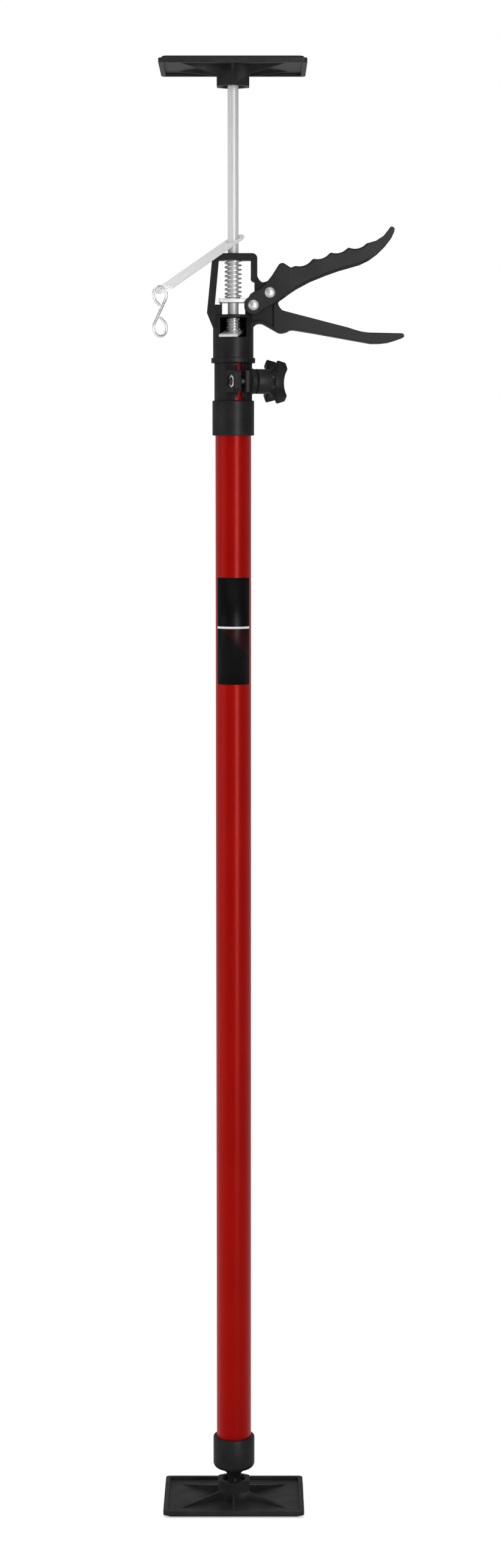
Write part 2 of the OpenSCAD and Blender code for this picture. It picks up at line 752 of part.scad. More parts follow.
module head_frame() {
  color("#222222")
    translate([0, 0, head_z])
      difference() {
        union() {
          cylinder(r = flange_r, h = flange_h);
          cylinder(r = barrel_r, h = barrel_top);
          upright(frame_w)
            difference() {
              frame_outline();
              frame_opening();
            }
          upright(ear_t) ear_outline();
          upright(frame_w) translate([right_x + frame_corner_r - 2.6, flange_low]) circle(2.6);
          translate([pivot_x, frame_w / 2, pivot_z])
            rotate([90, 0, 0]) cylinder(r = rivet_r + 2.6, h = frame_w);
          upright(handle_w) handle_outline();
          upright(frame_w) handle_flange();
        }
        translate([0, 0, -1]) cylinder(r = inner_r + seat_fit, h = socket_h + 1);
        cylinder(r = rod_hole_r, h = head_h + 1);
        lock_chamber();
        translate([0, 0, bar_under - eps])
          cylinder(r = main_spring_r + main_wire / 2 + clear, h = spring_recess);
        translate([pivot_x, frame_w, pivot_z])
          rotate([90, 0, 0]) cylinder(r = rivet_r + seat_fit, h = 2 * frame_w);
        translate([0, 0, rivet_up])
          rotate([-90, 0, 0]) cylinder(r = head_rivet_r + seat_fit, h = 2 * barrel_r);
      }
}

// Chamber for the lock plate and its spring, with the window in front of it
module lock_chamber() {
  difference() {
    translate([0, 0, sill_z]) cylinder(r = chamber_r, h = lock_window_h);
    rotate([0, 0, -lock_turn])
      translate([-6, fulcrum_y - 1.2, 0])
        cube([12, 6, lock_mid_z + fulcrum_y * tan(lock_tilt) - 1.3]);
  }
  translate([-lock_window_w / 2, -barrel_r - 1, sill_z])
    cube([lock_window_w, barrel_r + 1, lock_window_h]);
}

module head_rivet() {
  out = barrel_r - 0.2;
  color("#8a8a8a")
    translate([0, 0, head_z + rivet_up])
      rotate([-90, 0, 0]) {
        translate([0, 0, tube_bore_r - 1]) cylinder(r = head_rivet_r, h = out - tube_bore_r + 1);
        translate([0, 0, out]) dome(4, 1.4);
      }
}

// A domed rivet head, flat side down on z = 0
module dome(r, h) {
  ball = (r * r + h * h) / 2 / h;
  intersection() {
    translate([0, 0, h - ball]) sphere(ball);
    cylinder(r = r, h = h + 1);
  }
}

// ---- Trigger ----

// Pin that crosses the head front to back, with a domed head at each end
module cross_pin(x, z, r, gap) {
  translate([x, 0, head_z + z])
    rotate([90, 0, 0]) {
      translate([0, 0, -lever_half - gap]) cylinder(r = r, h = 2 * (lever_half + gap));
      for (side = [0, 1])
        mirror([0, 0, side]) translate([0, 0, lever_half + gap]) dome(dome_r, dome_h);
    }
}

module push_pin() {
  color("#d8d8d8") cross_pin(pin_x, pin_z, pin_r, 0);
}

module lever_rivet() {
  color("#d8d8d8") cross_pin(pivot_x, pivot_z, rivet_r, 0.1);
}

// Line of the finger scallops, from the thumb stop to the tip
scallop_from = [48.5, 74.4];
scallop_to = [103.4, 91.7];

module lever_outline() {
  line = scallop_to - scallop_from;
  up = [-line[1], line[0]] / norm(line);
  top = (scallop_bow + 1) * up;
  cusps = [for (i = [0 : scallops])
    let (t = i / scallops) scallop_from + t * line + 4 * t * (1 - t) * scallop_bow * up];
  difference() {
    polygon([[13.5, 53], [16.7, 55], [20.7, 56.7], [23.9, 59.3], [29.7, 66.4], [35.2, 75],
        [37, 76.9], [39.2, 76.6], [44.7, 73.1], scallop_from, scallop_from + top,
        scallop_to + top, scallop_to, [110.8, 93.8], [116.6, 97.5], [119.5, 101.1],
        [122, 104.5], [123.4, 104.9], [125.4, 103.3], [124.9, 100.4], [122.7, 95.8],
        [118.2, 90], [111.9, 83.8], [105.6, 79.3], [98.4, 75.9], [91.2, 73.8],
        [82.1, 71.3], [71.3, 67.5], [59.6, 62.8], [48.7, 57], [35.2, 47.6],
        [20.5, 39.3], [pin_x - 2, pin_z - 2], [11.7, 50]]);
    for (i = [0 : scallops - 1]) scallop(cusps[i], cusps[i + 1]);
  }
}

// Circle that cuts one scallop between two cusps
module scallop(a, b) {
  wide = norm(b - a) / 2;
  arc_r = (wide * wide + scallop_depth * scallop_depth) / 2 / scallop_depth;
  up = [a[1] - b[1], b[0] - a[0]] / norm(b - a);
  translate((a + b) / 2 + up * (arc_r - scallop_depth)) circle(arc_r);
}

// Plan of the trigger: parallel at the fork, narrower towards the tip
module lever_plan() {
  polygon([[0, -lever_half], [44, -lever_half], [96, 2 - lever_half], [130, 4 - lever_half],
    [130, lever_half - 4], [96, lever_half - 2], [44, lever_half], [0, lever_half]]);
}

// Hollow under the grip, open downwards
module lever_hollow() {
  polygon([[46, 40], [46, 66], [50, 69.5], [60, 71.5], [72, 76], [84, 79.6], [96, 83],
    [105, 86.6], [105, 40]]);
}

module trigger_lever() {
  color("#262626")
    translate([0, 0, head_z])
      difference() {
        union() {
          intersection() {
            upright(2 * lever_half) lever_outline();
            linear_extrude(2 * head_h) lever_plan();
          }
          translate([pin_x, lever_half, pin_z])
            rotate([90, 0, 0]) cylinder(r = nose_r, h = 2 * lever_half);
        }
        upright(2 * fork_half) polygon([[0, 30], [0, 80], [33, 80], [40, 61], [40, 30]]);
        upright(2 * (lever_half - 2 - trigger_wall)) lever_hollow();
        for (at = [[pin_x, pin_z, pin_r + seat_fit], [pivot_x, pivot_z, rivet_r + shaft_fit]])
          translate([at[0], 2 * lever_half, at[1]])
            rotate([90, 0, 0]) cylinder(r = at[2], h = 4 * lever_half);
      }
}

// ---- Rod, plates and springs ----

module push_rod() {
  color("#cfcfcf")
    translate([0, 0, rod_low_z])
      difference() {
        union() {
          cylinder(r1 = rod_r - 0.6, r2 = rod_r, h = 0.6);
          translate([0, 0, 0.6]) cylinder(r = rod_r, h = rod_len - 0.6);
        }
        translate([0, 0, stop_z - rod_low_z - seat_fit])
          difference() {
            cylinder(r = 2 * rod_r, h = stop_ring_t + 2 * seat_fit);
            translate([0, 0, -1]) cylinder(r = rod_r - 0.8, h = stop_ring_t + 3);
          }
      }
}

module rod_stop_ring() {
  color("#9a9a9a")
    translate([0, 0, stop_z])
      difference() {
        cylinder(r = stop_ring_r, h = stop_ring_t);
        translate([0, 0, -1]) cylinder(r = rod_r - 0.8 + seat_fit, h = stop_ring_t + 2);
        translate([0, -2, -1]) cube([2 * stop_ring_r, 4, stop_ring_t + 2]);
      }
}

module drive_plate() {
  length = drive_plate_right - drive_plate_left;
  wide = frame_w - 2 * clear;
  color("#dadada")
    translate([0, 0, head_z + plate_z])
      difference() {
        translate([drive_plate_left + length / 2, 0, 0]) slab(length, wide, drive_plate_t, 1);
        translate([0, 0, -1]) cylinder(r = rod_r + clear, h = drive_plate_t + 2);
      }
}

module lock_plate() {
  reach = chamber_r - 0.7;
  color("#d4d4d4")
    translate([0, 0, head_z + lock_mid_z])
      rotate([0, 0, -lock_turn])
        rotate([lock_tilt, 0, 0])
          translate([0, 0, -lock_plate_t / 2])
            difference() {
              intersection() {
                translate([-lock_plate_w / 2, -lock_plate_front, 0])
                  cube([lock_plate_w, lock_plate_front + fulcrum_y + 1, lock_plate_t]);
                union() {
                  cylinder(r = reach, h = lock_plate_t);
                  translate([-reach, -2 * reach, 0]) cube([2 * reach, 2 * reach, lock_plate_t]);
                }
              }
              translate([0, 0, -1]) cylinder(r = rod_r + 0.55, h = lock_plate_t + 2);
            }
}

// A coil spring of round wire from height 0 to h, its dead end turns laid close.
// The lower end leans by a slope towards +Y that fades out at the upper end.
module coil(r, wire, turns, h, lean) {
  steps = turns * 14;
  sides = 8;
  dead = 0.9 * wire;
  rise = h - wire;
  function lift(n) =
    n < 1 ? dead * n :
    n > turns - 1 ? rise - dead * (turns - n) :
    dead + (rise - 2 * dead) * (n - 1) / (turns - 2);
  rings = [for (i = [0 : steps])
    let (n = i / 14, a = 360 * n, z = wire / 2 + lift(n), f = 1 - n / turns)
      for (j = [0 : sides - 1])
        let (b = 360 * j / sides, q = r + wire / 2 * cos(b))
          [q * cos(a), q * sin(a), z + wire / 2 * sin(b) + lean * f * q * sin(a)]];
  sides_list = [for (i = [0 : steps - 1], j = [0 : sides - 1])
    let (k = (j + 1) % sides)
      [i * sides + j, (i + 1) * sides + j, (i + 1) * sides + k, i * sides + k]];
  start_cap = [[for (j = [0 : sides - 1]) j]];
  end_cap = [[for (j = [sides - 1 : -1 : 0]) steps * sides + j]];
  polyhedron(rings, concat(sides_list, start_cap, end_cap));
}

module main_spring() {
  bottom = plate_z + drive_plate_t;
  color("#d9d9d9")
    translate([0, 0, head_z + bottom + 0.05])
      coil(main_spring_r, main_wire, main_turns, bar_under + spring_recess - bottom - 0.1, 0);
}

module lock_spring() {
  low = lock_mid_z + lock_plate_t / 2 / cos(lock_tilt) + 0.05;
  color("#d9d9d9")
    translate([0, 0, head_z + low])
      rotate([0, 0, -lock_turn])
        coil(lock_spring_r, lock_wire, lock_turns, sill_z + lock_window_h - low - 0.05,
          tan(lock_tilt));
}

// ---- Hanger strip and S-hook ----

// Turns local +X to run along the strip, level, away from the rod
module strip_direction() {
  translate([0, 0, strip_z]) rotate([0, 0, 180 + strip_turn]) children();
}

module hanger_strip() {
  color("#dedede")
    strip_direction()
      rotate([0, strip_tilt, 0])
        translate([0, 0, -strip_t / 2])
          difference() {
            union() {
              for (x = [0, strip_pitch]) translate([x, 0, 0]) cylinder(r = strip_r, h = strip_t);
              translate([0, -strip_r, 0]) cube([strip_pitch, 2 * strip_r, strip_t]);
            }
            translate([0, 0, -1]) cylinder(r = strip_rod_hole_r, h = strip_t + 2);
            translate([strip_pitch, 0, -1]) cylinder(r = strip_hook_hole_r, h = strip_t + 2);
          }
}

// Upper loop of the hook in the XY plane, round its centre. It starts with a stub of the
// middle stretch, and runs clockwise over the top to its free end.
module hook_loop(lean) {
  rotate([0, 0, 180 + lean]) translate([hook_r, 0, 0])
    rotate([-90, 0, 0]) cylinder(r = hook_wire / 2, h = hook_stub);
  rotate([0, 0, 180 + lean - hook_sweep]) {
    rotate_extrude(angle = hook_sweep) translate([hook_r, 0]) circle(hook_wire / 2);
    translate([hook_r, 0, 0]) rotate([90, 0, 0]) cylinder(r = hook_wire / 2, h = hook_end);
    translate([hook_r, -hook_end, 0]) sphere(hook_wire / 2);
  }
}

module s_hook() {
  lean = asin(2 * hook_r / hook_pitch);
  run = sqrt(pow(hook_pitch, 2) - pow(2 * hook_r, 2));
  color("#cfcfcf")
    strip_direction()
      rotate([0, strip_tilt, 0])
        translate([bridge_out, 0, 0])
          rotate([0, -strip_tilt, 0])
            translate([0, 0, hook_hang - hook_in_r - hook_pitch / 2])
              rotate([90, 0, 0]) {
                for (flip = [0, 180])
                  rotate([0, 0, flip]) translate([0, hook_pitch / 2, 0]) hook_loop(lean);
                rotate([0, 0, lean])
                  translate([0, hook_stub / 2 - run / 2, 0])
                    rotate([-90, 0, 0]) cylinder(r = hook_wire / 2 + eps, h = run - hook_stub);
              }
}

outer_tube();
foot_cap();
foot_ball_stud();
foot_ball_liner();
foot_pad_plate();
foot_pad_rubber();
clamp_collar();
clamp_nut();
clamp_screw();
clamp_knob();
inner_tube();
tube_glide();
head_frame();
head_rivet();
trigger_lever();
lever_rivet();
push_pin();
drive_plate();
main_spring();
lock_plate();
lock_spring();
push_rod();
rod_stop_ring();
hanger_strip();
s_hook();
top_ball();
top_ball_liner();
top_pad_plate();
top_pad_rubber();
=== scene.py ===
import json
import math
import bmesh
import bpy
from mathutils import Matrix, Vector

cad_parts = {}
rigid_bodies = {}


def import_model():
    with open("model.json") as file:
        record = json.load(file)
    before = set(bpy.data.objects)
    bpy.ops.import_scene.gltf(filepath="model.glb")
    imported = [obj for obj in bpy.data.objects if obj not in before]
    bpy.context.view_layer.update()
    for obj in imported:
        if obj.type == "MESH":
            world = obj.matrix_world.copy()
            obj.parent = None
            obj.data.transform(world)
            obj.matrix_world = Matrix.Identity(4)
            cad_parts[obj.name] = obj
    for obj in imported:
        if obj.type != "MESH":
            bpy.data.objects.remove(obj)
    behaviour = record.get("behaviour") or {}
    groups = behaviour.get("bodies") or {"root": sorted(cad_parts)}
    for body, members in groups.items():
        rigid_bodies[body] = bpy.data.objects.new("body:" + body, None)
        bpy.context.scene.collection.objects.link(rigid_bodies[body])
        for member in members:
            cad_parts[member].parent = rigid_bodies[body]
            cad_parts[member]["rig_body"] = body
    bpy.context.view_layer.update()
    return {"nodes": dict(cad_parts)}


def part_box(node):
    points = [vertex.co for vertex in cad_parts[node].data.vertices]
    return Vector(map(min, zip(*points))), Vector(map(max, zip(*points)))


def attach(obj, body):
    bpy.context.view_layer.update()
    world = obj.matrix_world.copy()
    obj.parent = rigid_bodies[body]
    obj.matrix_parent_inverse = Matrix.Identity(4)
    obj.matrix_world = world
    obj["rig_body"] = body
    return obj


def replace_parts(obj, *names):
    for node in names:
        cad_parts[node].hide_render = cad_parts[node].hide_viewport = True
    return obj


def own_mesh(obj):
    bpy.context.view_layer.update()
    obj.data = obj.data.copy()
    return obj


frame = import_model()
nodes = frame["nodes"]
mm = 0.001
print("frame loaded,", len(nodes), "nodes")


def linear(hexColour):  # sRGB hex to linear, with an alpha of 1
    channels = [int(hexColour[i:i + 2], 16) / 255 for i in (1, 3, 5)]
    return [c / 12.92 if c <= 0.04045 else ((c + 0.055) / 1.055) ** 2.4 for c in channels] + [1]


def addNode(tree, kind, inputs=None, **settings):  # one node with its settings, values and links
    node = tree.nodes.new(kind)
    for name, value in settings.items():
        setattr(node, name, value)
    for name, value in (inputs or {}).items():
        socket = node.inputs[name]
        if isinstance(value, bpy.types.Node):
            value = value.outputs[0]
        if isinstance(value, bpy.types.NodeSocket):
            tree.links.new(value, socket)
        else:
            socket.default_value = value
    return node


def startMaterial(name):  # an empty material, its tree and the piece's own coordinates
    material = bpy.data.materials.new(name)
    material.use_nodes = True
    tree = material.node_tree
    tree.nodes.clear()
    place = addNode(tree, "ShaderNodeTexCoord").outputs["Object"]
    return material, tree, place


# Cloud and grain sizes are in mm. The grain of the nylon, the rubber and the drawn bar is coarser than the
# real one, so that it shows.
def clouded(tree, place, sizeMm, detail, first, second, low=0.35, high=0.65):  # two colours in soft clouds
    field = addNode(tree, "ShaderNodeTexNoise", {
        "Vector": place, "Scale": 1 / (sizeMm * mm), "Detail": detail})
    share = addNode(tree, "ShaderNodeMapRange", {"Value": field, "From Min": low, "From Max": high})
    mix = addNode(tree, "ShaderNodeMix", {0: share, 6: linear(first), 7: linear(second)}, data_type="RGBA")
    return mix.outputs[2]


def grained(tree, place, sizeMm, detail, rough, relief=None):  # relief is the bump's strength and depth in mm
    field = addNode(tree, "ShaderNodeTexNoise", {
        "Vector": place, "Scale": 1 / (sizeMm * mm), "Detail": detail})
    sockets = {"Roughness": addNode(tree, "ShaderNodeMapRange", {
        "Value": field, "From Min": 0.3, "From Max": 0.7, "To Min": rough[0], "To Max": rough[1]})}
    if relief:
        sockets["Normal"] = addNode(tree, "ShaderNodeBump", {
            "Height": field, "Strength": relief[0], "Distance": relief[1] * mm})
    return sockets


def endMaterial(tree, grain, sockets):
    shader = addNode(tree, "ShaderNodeBsdfPrincipled", {**grain, **sockets})
    addNode(tree, "ShaderNodeOutputMaterial", {"Surface": shader})


# Powder-coated steel tube: deep even red, soft gloss and a fine orange peel
def powderCoat():
    material, tree, place = startMaterial("redPowderCoat")
    colour = clouded(tree, place, 45, 1, "#9A0702", "#A00903")
    peel = grained(tree, place, 2.2, 2, (0.30, 0.38), (0.06, 0.15))
    endMaterial(tree, peel, {
        "Base Color": colour, "IOR": 1.5, "Specular IOR Level": 0.25, "Specular Tint": (1, 0.16, 0.15, 1)})
    return material


# Glass-filled nylon, injection moulded: near-black, spark-eroded grain, broad soft highlights. Given a held
# colour, the base colour turns lighter towards it along X, from the frame out along the handle where a hand
# holds it: a painted sheen.
def mouldedNylon(name, dark, light, gloss, held=None):
    material, tree, place = startMaterial(name)
    colour = clouded(tree, place, 14, 2, dark, light)
    # painted sheen: the base colour is mixed towards the held colour from X = 20 mm to 55 mm
    if held:
        along = addNode(tree, "ShaderNodeSeparateXYZ", {0: place}).outputs["X"]
        reach = addNode(tree, "ShaderNodeMapRange", {
            "Value": along, "From Min": 20 * mm, "From Max": 55 * mm})
        mix = addNode(tree, "ShaderNodeMix", {0: reach, 6: colour, 7: linear(held)}, data_type="RGBA")
        colour = mix.outputs[2]
    grain = grained(tree, place, 0.9, 3, (gloss - 0.05, gloss + 0.06), (0.12, 0.08))
    endMaterial(tree, grain, {"Base Color": colour, "IOR": 1.53, "Specular IOR Level": 0.07})
    return material


# Cured rubber: dull charcoal with a chalky bloom and a coarse moulded grain
def curedRubber():
    material, tree, place = startMaterial("blackRubber")
    bloom = clouded(tree, place, 22, 2, "#121212", "#1D1D1C", 0.3, 0.7)
    grain = grained(tree, place, 1.4, 4, (0.72, 0.88), (0.3, 0.12))
    endMaterial(tree, grain, {"Base Color": bloom, "IOR": 1.52, "Specular IOR Level": 0.3})
    return material


# Bright zinc plate on pressed or headed steel: silver with a faint cloudiness
def zincPlate(name, dark, light, gloss, metal):
    material, tree, place = startMaterial(name)
    cloud = clouded(tree, place, 5, 3, dark, light)
    wear = grained(tree, place, 1.2, 2, (gloss - 0.03, gloss + 0.04), (0.03, 0.02))
    endMaterial(tree, wear, {"Base Color": cloud, "Metallic": metal})
    return material


# Cold-drawn steel bar: pale grey with fine lines along its length
def drawnBar():
    material, tree, place = startMaterial("drawnSteelBar")
    stretched = addNode(tree, "ShaderNodeMapping", {"Vector": place, "Scale": (1, 1, 0.02)})
    colour = clouded(tree, stretched, 0.7, 2, "#D4D4D4", "#DEDEDE")
    lines = grained(tree, stretched, 0.7, 2, (0.42, 0.52), (0.08, 0.04))
    endMaterial(tree, lines, {"Base Color": colour, "Metallic": 0.1, "Specular IOR Level": 0.12})
    return material


# Nickel-plated music wire: mirror-bright with light drawing marks
def springWire():
    material, tree, place = startMaterial("platedSpringWire")
    colour = clouded(tree, place, 0.8, 2, "#E6E6E6", "#F6F6F6", 0.3, 0.7)
    marks = grained(tree, place, 0.8, 2, (0.16, 0.24))
    endMaterial(tree, marks, {"Base Color": colour, "Metallic": 0.7})
    return material


finish = {
    "paint": powderCoat(),
    "nylon": mouldedNylon("blackGlassNylon", "#1F1F1F", "#272727", 0.42),
    "padNylon": mouldedNylon("ribbedPadNylon", "#262626", "#303030", 0.44),
    "leverNylon": mouldedNylon("satinBlackNylon", "#282828", "#2F2F2F", 0.42),
    # the head frame's handle carries a painted sheen, lighter towards +X
    "headNylon": mouldedNylon("sheenPaintedGlassNylon", "#1F1F1F", "#272727", 0.42, "#333333"),
    "liner": mouldedNylon("charcoalAcetal", "#262626", "#303030", 0.34),
    "rubber": curedRubber(),
    "zinc": zincPlate("brightZincPlate", "#DADADA", "#EAEAEA", 0.34, 0.55),
    "rivet": zincPlate("tumbledRivetHead", "#BEBEBE", "#CECECE", 0.42, 0.6),
    "strip": zincPlate("satinZincStrip", "#EDEDED", "#F3F3F3", 0.46, 0.15),
    "screw": zincPlate("blackPhosphateScrew", "#2A2A2A", "#353535", 0.4, 0.9),
    "bar": drawnBar(),
    "wire": springWire(),
}
print("materials made,", len(finish))


def newPiece(name, mesh, body, material):
    piece = bpy.data.objects.new(name, mesh)
    bpy.context.scene.collection.objects.link(piece)
    mesh.materials.clear()
    mesh.materials.append(material)
    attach(piece, body)
    return piece


def smooth(mesh, sharpDegrees):
    mesh.shade_smooth()
    mesh.set_sharp_from_angle(angle=math.radians(sharpDegrees))


# Each CAD solid is shown by a merged copy: its name, finish, slot and edge rounding in mm. A grip that a hand
# holds is rounder: where along X it starts, how far out its edges lie, and its rounding.
dressing = {
    "outer_tube": ("poleTube", "paint", "red_paint", 0.2),
    "inner_tube": ("slidingTube", "paint", "red_paint", 0.2),
    "foot_cap": ("poleCap", "nylon", "black_nylon", 0.4),
    "foot_ball_stud": ("footBallStud", "nylon", "black_nylon", 0.3),
    "foot_ball_liner": ("footBallLiner", "liner", "liner_nylon", 0),
    "foot_pad_plate": ("footPadPlate", "padNylon", "black_nylon", 0.35),
    "foot_pad_rubber": ("footPadRubber", "rubber", "black_rubber", 0),
    "clamp_collar": ("clampCollar", "nylon", "black_nylon", 0.45),
    "clamp_nut": ("clampNut", "zinc", "zinc_steel", 0.25),
    "clamp_screw": ("clampScrew", "screw", "zinc_steel", 0),
    "tube_glide": ("tubeGlide", "liner", "liner_nylon", 0.2),
    "head_frame": ("headFrame", "headNylon", "black_nylon", 0.5, (46, 8.2, 0.9)),
    "head_rivet": ("headRivet", "rivet", "zinc_steel", 0),
    "trigger_lever": ("triggerLever", "leverNylon", "black_nylon", 0.6, (34, 8.0, 1.5)),
    "lever_rivet": ("leverRivet", "rivet", "zinc_steel", 0),
    "push_pin": ("pushPin", "rivet", "zinc_steel", 0),
    "drive_plate": ("drivePlate", "zinc", "zinc_steel", 0.5),
    "lock_plate": ("lockPlate", "zinc", "zinc_steel", 0.35),
    "push_rod": ("pushRod", "bar", "rod_steel", 0),
    "rod_stop_ring": ("rodStopRing", "zinc", "zinc_steel", 0.2),
    "hanger_strip": ("hangerStrip", "strip", "zinc_steel", 0.25),
    "s_hook": ("sHook", "wire", "spring_steel", 0),
    "top_ball": ("topBall", "nylon", "black_nylon", 0),
    "top_ball_liner": ("topBallLiner", "liner", "liner_nylon", 0),
    "top_pad_plate": ("topPadPlate", "padNylon", "black_nylon", 0.35),
    "top_pad_rubber": ("topPadRubber", "rubber", "black_rubber", 0),
}
splitFirst = {"clamp_collar", "head_frame", "trigger_lever"}  # rounding would tear their many-sided faces
rounding = {  # what counts as merged, flat, sharp, worth rounding, too fine and a side face
    "mergeMm": 0.002, "flatDegrees": 0.6, "sharpDegrees": 20, "roundDegrees": 35, "finestMm": 0.3,
    "sideNormal": 0.9, "segments": 2, "shadeDegrees": 32,
}


def weighEdges(shape, share, finest, grip):  # full rounding on a grip's outer edges, this share elsewhere
    weights = shape.edges.layers.float.new("bevel_weight_edge")
    sharpFrom = math.radians(rounding["sharpDegrees"])
    roundFrom = math.radians(rounding["roundDegrees"])
    sharp = [e for e in shape.edges if len(e.link_faces) == 2 and e.calc_face_angle() > sharpFrom]
    crowded = {v for e in sharp if e.calc_length() < finest for v in e.verts}  # too fine to be rounded
    for edge in sharp:
        if edge.is_convex and edge.calc_face_angle() > roundFrom and not crowded.intersection(edge.verts):
            held = grip and all(v.co.x > grip[0] * mm and abs(v.co.y) > grip[1] * mm for v in edge.verts)
            edge[weights] = 1.0 if held else share


def dressNode(nodeName, pieceName, finishName, slotName, edgeMm, grip=None):
    fullMm = grip[2] if grip else edgeMm
    split = nodeName in splitFirst
    shape = bmesh.new()
    shape.from_mesh(nodes[nodeName].data)
    bmesh.ops.remove_doubles(shape, verts=shape.verts, dist=rounding["mergeMm"] * mm)
    bmesh.ops.dissolve_limit(shape, angle_limit=math.radians(rounding["flatDegrees"]),
                             verts=shape.verts, edges=shape.edges)
    if split:  # the large side faces stay whole
        bmesh.ops.triangulate(shape, faces=[
            f for f in shape.faces if len(f.verts) > 4 and abs(f.normal.y) < rounding["sideNormal"]])
    if edgeMm:
        weighEdges(shape, edgeMm / fullMm, rounding["finestMm"] * mm if split else 0, grip)
    mesh = bpy.data.meshes.new(pieceName)
    shape.to_mesh(mesh)
    shape.free()
    smooth(mesh, rounding["shadeDegrees"])
    piece = newPiece(pieceName, mesh, nodes[nodeName]["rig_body"], finish[finishName])
    if edgeMm:
        bevel = piece.modifiers.new("edge", "BEVEL")
        bevel.width = fullMm * mm
        bevel.segments = rounding["segments"]
        bevel.limit_method = "WEIGHT"
        bevel.use_clamp_overlap = False
        bevel.harden_normals = not split
    if split:
        piece.modifiers.new("shading", "WEIGHTED_NORMAL").keep_sharp = True
    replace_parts(piece, nodeName)


for nodeName, row in dressing.items():
    dressNode(nodeName, *row)
print("solids dressed,", len(dressing))

# Four-lobed knob, measured in mm along the screw from its neck's end. Each valley is an arc about a point
# outside the lobes, and the blend rounds the corners beside it.
knob = {
    "neckRadius": 9.6, "neckLength": 13.3, "lobeRadius": 20.2, "lobeThick": 8.0, "taper": 1.8, "lobes": 4,
    "valleyRadius": 12.12, "valleyAt": 22.02, "turn": 4, "dish": 1.1, "edge": 1.3, "flare": 3.0, "blend": 2.0,
    "lip": 0.5, "flareBend": 2.5, "flareRings": 8, "edgeRings": 5, "dishRings": 7, "around": 160,
    "start": 11.4, "screwOut": 17.8, "screwHeight": 905.5, "clampTurn": 21, "shadeDegrees": 50,
}


def lobeEdge(angle, reach):  # radius of the lobed outline at this angle
    pitch = 2 * math.pi / knob["lobes"]
    off = (angle - math.radians(knob["turn"]) + pitch / 2) % pitch - pitch / 2
    inside = knob["valleyRadius"] ** 2 - (knob["valleyAt"] * math.sin(off)) ** 2
    if inside <= 0:
        return reach
    valley = knob["valleyAt"] * math.cos(off) - math.sqrt(inside)
    gap = max(knob["blend"] - abs(valley - reach), 0) / knob["blend"]
    return min(valley, reach) - gap * gap * knob["blend"] / 4


def knobRings(angles):  # (height, radius at each angle) from the neck's end, round the lobes, into the dish
    k = knob
    back = [lobeEdge(a, k["lobeRadius"]) for a in angles]
    front = [lobeEdge(a, k["lobeRadius"] - k["taper"]) for a in angles]
    top = k["neckLength"] + k["lobeThick"]
    lip = k["lip"]
    neck = ((0, lip), (0.3 * lip, 0.3 * lip), (lip, 0), (k["neckLength"] - k["flare"], 0))  # height and inset
    rings = [(height, [k["neckRadius"] - inset] * len(angles)) for height, inset in neck]
    for i in range(1, k["flareRings"] + 1):
        share = i / k["flareRings"]
        rise = k["neckLength"] - k["flare"] * (1 - share) ** k["flareBend"]
        rings.append((rise, [k["neckRadius"] + (r - k["edge"] - k["neckRadius"]) * share for r in back]))
    for i in range(1, k["edgeRings"] + 1):
        bend = math.pi / 2 * i / k["edgeRings"]
        rings.append((k["neckLength"] + k["edge"] * (1 - math.cos(bend)),
                      [r - k["edge"] * (1 - math.sin(bend)) for r in back]))
    for i in range(k["edgeRings"] + 1):
        bend = math.pi / 2 * i / k["edgeRings"]
        rings.append((top - k["edge"] * (1 - math.sin(bend)),
                      [r - k["edge"] * (1 - math.cos(bend)) for r in front]))
    for i in range(1, k["dishRings"]):
        share = 1 - i / k["dishRings"]
        rings.append((top, [(r - k["edge"]) * share for r in front]))
    return rings, top


def knobMesh(name):
    count = knob["around"]
    angles = [2 * math.pi * i / count for i in range(count)]
    rings, top = knobRings(angles)
    shape = bmesh.new()
    rows = []
    for height, radii in rings:
        row = []
        for angle, radius in zip(angles, radii):
            hollow = knob["dish"] * (1 - (radius / knob["lobeRadius"]) ** 2)
            along = min(height, top - hollow)
            row.append(shape.verts.new((along, radius * math.sin(angle), -radius * math.cos(angle))))
        rows.append(row)
    for lower, upper in zip(rows, rows[1:]):
        for i in range(count):
            j = (i + 1) % count
            shape.faces.new((lower[i], lower[j], upper[j], upper[i]))
    for row, along in ((rows[0], 0), (rows[-1], top - knob["dish"])):
        middle = shape.verts.new((along, 0, 0))
        for i in range(count):
            shape.faces.new((row[i], row[(i + 1) % count], middle))
    bmesh.ops.recalc_face_normals(shape, faces=shape.faces)
    mesh = bpy.data.meshes.new(name)
    shape.to_mesh(mesh)
    shape.free()
    mesh.transform(Matrix.Rotation(math.radians(knob["clampTurn"]), 4, "Z")
                   @ Matrix.Translation(Vector((knob["start"], -knob["screwOut"], knob["screwHeight"])) * mm)
                   @ Matrix.Scale(mm, 4))
    smooth(mesh, knob["shadeDegrees"])
    return mesh


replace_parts(newPiece("clampKnob", knobMesh("clampKnob"), nodes["clamp_knob"]["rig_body"],
                     finish["nylon"]), "clamp_knob")
print("knob shaped")

# Both coil springs: wire, turns, the slope of the lower end and where it faces, the joint that shortens the
# spring and the share of its length that is kept
springs = {
    "main_spring": {"name": "mainSpring", "wire": 1.5 * mm, "turns": 10, "slope": 0.0, "turn": 0.0,
                    "joint": "drive_lift", "keep": 0.76},
    "lock_spring": {"name": "lockSpring", "wire": 1.1 * mm, "turns": 5, "slope": math.tan(math.radians(10)),
                    "turn": math.radians(-12), "joint": "lock_release", "keep": 0.8},
}
winding = {  # a closed end's rise is in wire radii, and sagShare is how much of the slope hangs below
    "pointsPerTurn": 40, "wireSides": 12, "endRise": 1.8, "sagShare": 0.6,
}


